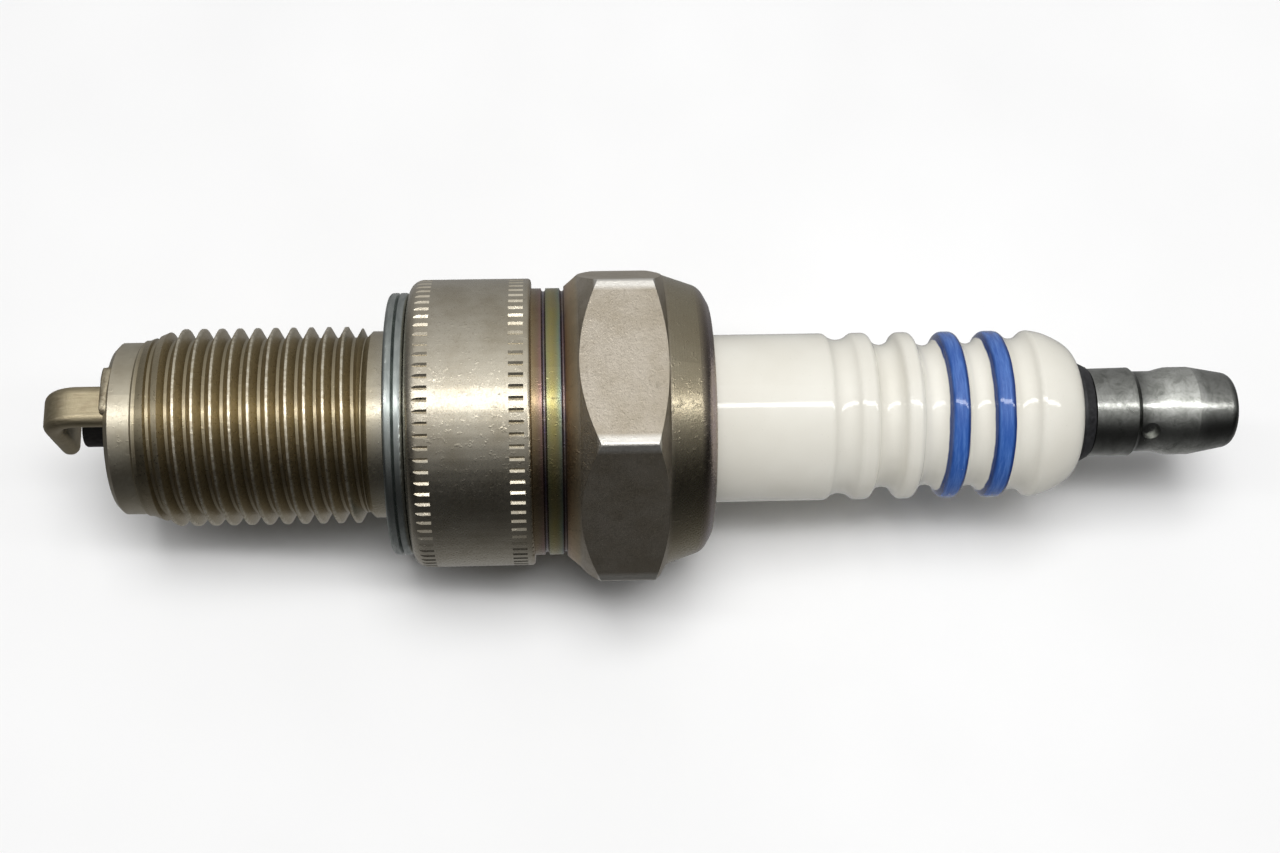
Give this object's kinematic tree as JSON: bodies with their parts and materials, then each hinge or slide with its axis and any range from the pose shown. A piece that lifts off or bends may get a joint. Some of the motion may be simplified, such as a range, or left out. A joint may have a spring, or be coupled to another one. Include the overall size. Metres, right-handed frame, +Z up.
{
  "type": "spark plug",
  "caption": "Motorcycle spark plug: threaded steel shell with hexagon, captive gasket, ribbed white insulator, bent ground electrode and screw-on terminal nut.",
  "frame": {"origin": "on the plug's axis, in the plane of the gasket's sealing face", "axes": "+X along the axis from the electrodes to the terminal; +Z up, square to one flat of the hexagon; +Y across"},
  "size_m": [0.0841, 0.024, 0.0208],
  "materials": {
    "plated_steel": "nickel-plated steel, satin, with brown reflections",
    "zinc_steel": "bright zinc-plated sheet steel",
    "porcelain": "glossy white glaze over alumina",
    "nickel_alloy": "plain nickel alloy strap",
    "sooty_nickel": "nickel alloy, black from firing",
    "copper": "plain copper",
    "seal_glass": "copper-filled sealing glass",
    "resistor_mass": "fired carbon-filled glass",
    "stud_steel": "turned steel",
    "black_washer": "black oxide on a thin cone washer",
    "nut_steel": "polished, mottled zinc on steel",
    "packing_steel": "bare steel packing",
    "talc": "pressed talc powder"
  },
  "bodies": {
    "plug_body": {"metal_shell": "plated_steel", "ground_electrode": "nickel_alloy", "insulator": "porcelain", "centre_electrode": "sooty_nickel", "copper_core": "copper", "lower_glass_seal": "seal_glass", "resistor": "resistor_mass", "upper_glass_seal": "seal_glass", "terminal_stud": "stud_steel", "packing_washer": "packing_steel", "front_sealing_ring": "packing_steel", "rear_sealing_ring": "packing_steel", "talc_filling": "talc"},
    "washer_group": {"terminal_washer": "black_washer"},
    "nut_group": {"terminal_nut": "nut_steel"},
    "gasket_group": {"seal_gasket": "zinc_steel"}
  },
  "joints": [
    {"name": "terminal_nut_turn", "type": "hinge", "parent": "plug_body", "child": "washer_group", "pos_m": [0.0493, 0, 0], "axis": [1, 0, 0], "range_deg": [0, 3960]},
    {"name": "terminal_nut_advance", "type": "slide", "parent": "washer_group", "child": "nut_group", "axis": [1, 0, 0], "range_m": [0, 0.0077]},
    {"name": "gasket_turn", "type": "hinge", "parent": "plug_body", "child": "gasket_group", "pos_m": [0.0007, 0, 0], "axis": [1, 0, 0], "continuous": true}
  ],
  "couplings": [
    {"joint": "terminal_nut_turn", "follows": "terminal_nut_advance", "rad_per_m": 8976}
  ]
}
